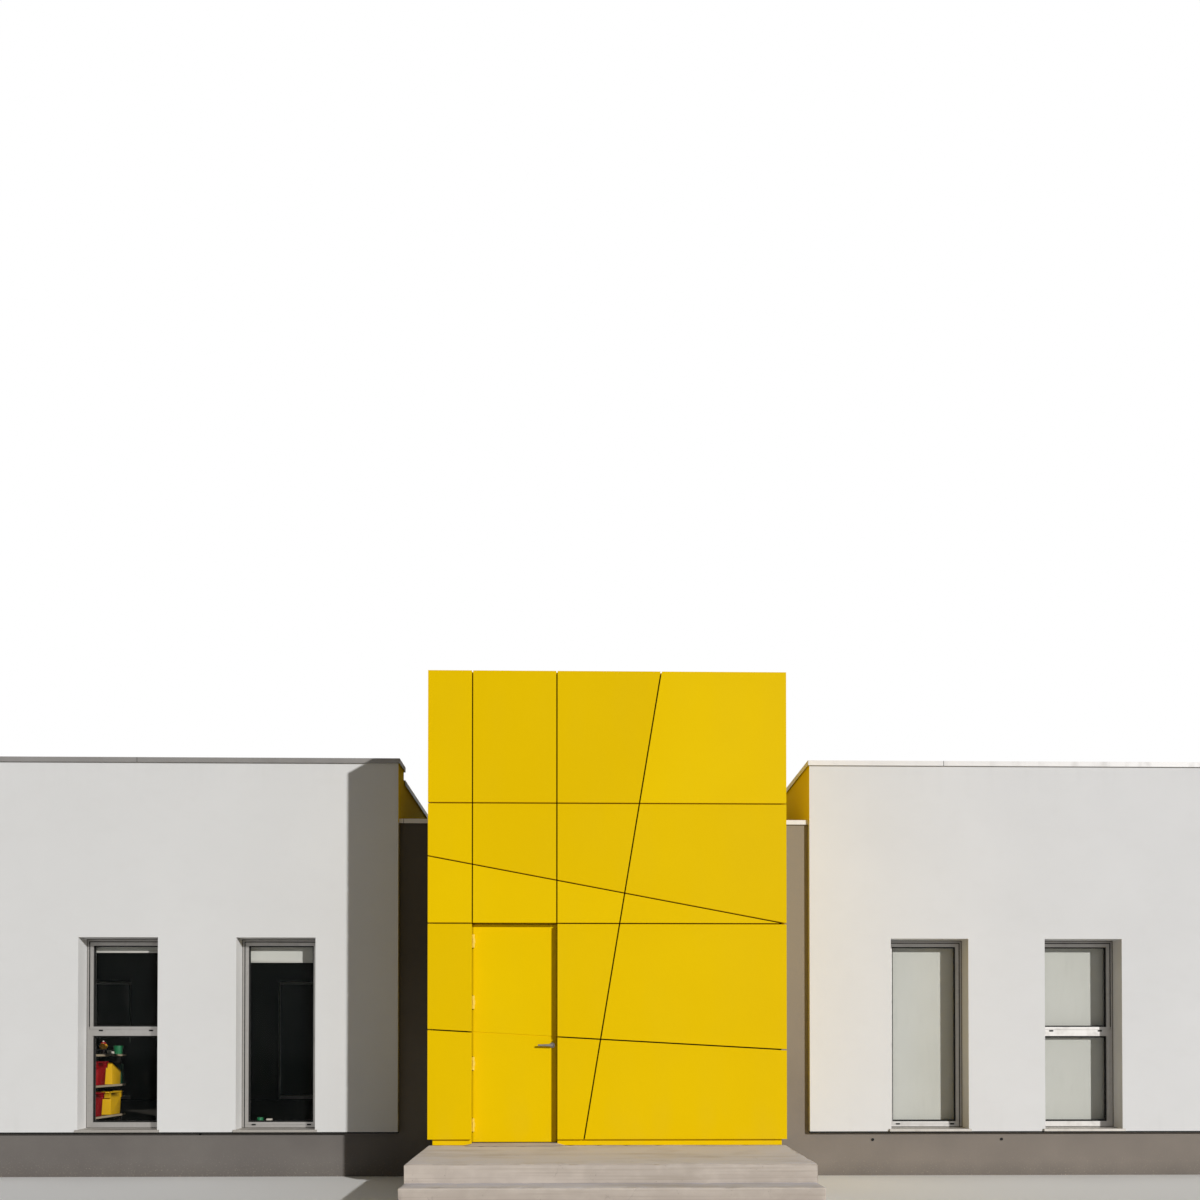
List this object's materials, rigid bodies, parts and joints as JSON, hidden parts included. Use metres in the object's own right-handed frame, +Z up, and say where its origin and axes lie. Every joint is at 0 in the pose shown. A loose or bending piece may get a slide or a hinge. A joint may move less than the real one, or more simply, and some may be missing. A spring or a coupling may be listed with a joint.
{
  "type": "school building",
  "caption": "Single-storey school building: tall yellow panelled entrance block with a door, low white rendered wings with floor-deep windows, and a stepped concrete landing.",
  "frame": {"origin": "centre of the building's bounding box at ground level", "axes": "+X along the front to the right as seen from outside, the front faces -Y, +Z up"},
  "size_m": [20.498, 11.309, 5.13],
  "materials": {
    "white_render": "smooth painted render",
    "grey_render": "smooth grey render",
    "floor_finish": "matte screed",
    "roofing": "mineral felt",
    "coping_metal": "satin coated sheet",
    "block_wall": "painted blockwork",
    "yellow_panel": "satin coated panel",
    "concrete": "cast concrete",
    "yellow_paint": "satin paint",
    "satin_steel": "satin",
    "window_aluminium": "satin anodised",
    "window_glass": "clear, dark rooms behind",
    "blind_cloth": "close weave",
    "shelf_board": "laminated board",
    "yellow_plastic": "moulded",
    "red_plastic": "moulded"
  },
  "bodies": {
    "building": {"left_front_wall": "white_render", "right_front_wall": "white_render", "left_back_wall": "white_render", "right_back_wall": "white_render", "left_end_wall": "white_render", "right_end_wall": "white_render", "inner_walls": "white_render", "plinths": "grey_render", "link_walls": "grey_render", "hall_back_wall": "grey_render", "floor": "floor_finish", "wing_roofs": "roofing", "hall_roof": "roofing", "portal_roof": "roofing", "wing_copings": "coping_metal", "entrance_copings": "coping_metal", "portal_piers": "block_wall", "portal_lintel": "block_wall", "portal_side_walls": "block_wall", "portal_back_wall": "block_wall", "front_cladding": "yellow_panel", "side_cladding": "yellow_panel", "back_cladding": "yellow_panel", "base_strip": "yellow_panel", "door_threshold": "concrete", "landing": "concrete", "middle_step": "concrete", "lower_step": "concrete", "door_frame": "yellow_paint", "door_hinge_pins": "yellow_paint", "left_window_frames": "window_aluminium", "right_window_frames": "window_aluminium", "window_sills": "window_aluminium", "left_window_glass": "window_glass", "right_window_glass": "window_glass", "left_blinds": "blind_cloth", "right_blinds": "blind_cloth", "toy_shelf": "shelf_board", "yellow_bins": "yellow_plastic", "red_bins": "red_plastic"},
    "door": {"door_leaf": "yellow_paint", "door_hinge_plates": "yellow_paint", "door_roses": "satin_steel"},
    "handle": {"door_lever": "satin_steel"}
  },
  "joints": [
    {"name": "door_swing", "type": "hinge", "parent": "building", "child": "door", "pos_m": [-1.3167, -3.6585, 1.58], "axis": [0, 0, -1], "range_deg": [0, 90]},
    {"name": "door_handle", "type": "hinge", "parent": "door", "child": "handle", "pos_m": [-0.545, -3.622, 1.459], "axis": [0, -1, 0], "range_deg": [0, 45], "stiffness_Nm_per_rad": 2, "springref_deg": -34.38}
  ]
}
